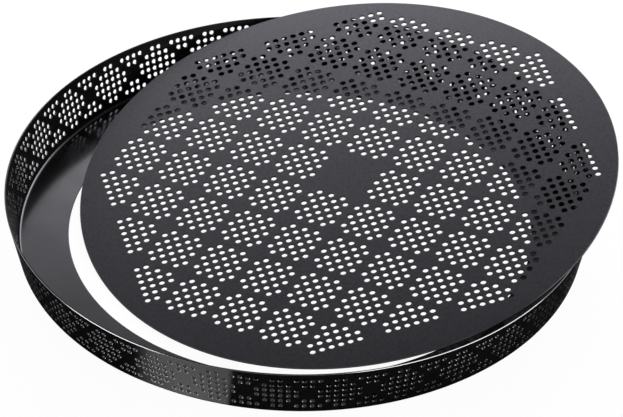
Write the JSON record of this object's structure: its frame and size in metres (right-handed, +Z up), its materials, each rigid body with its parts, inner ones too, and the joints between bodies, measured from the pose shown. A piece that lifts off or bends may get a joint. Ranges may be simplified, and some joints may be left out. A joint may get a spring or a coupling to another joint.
{
  "type": "quiche pan",
  "caption": "Loose-base quiche pan: a flared, perforated ring with a flat inward ledge, and a flat perforated base that leans on its rim and lifts away.",
  "frame": {"origin": "middle of the object's footprint, on the table that the ring stands on", "axes": "+Z up, the axis of the ring; +X to the right and +Y away as the picture shows the pan"},
  "size_m": [0.2908, 0.2826, 0.0421],
  "materials": {
    "ring_coating": "black non-stick coat on sheet steel, semi-gloss",
    "base_coating": "charcoal non-stick coat on sheet steel, satin with a fine grain"
  },
  "bodies": {
    "ring": {"flan_ring": "ring_coating"},
    "base": {"loose_base": "base_coating"}
  },
  "joints": [
    {"name": "base_lift", "type": "slide", "parent": "ring", "child": "base", "axis": [0, 0, 1], "range_m": [0, 0.06]}
  ]
}
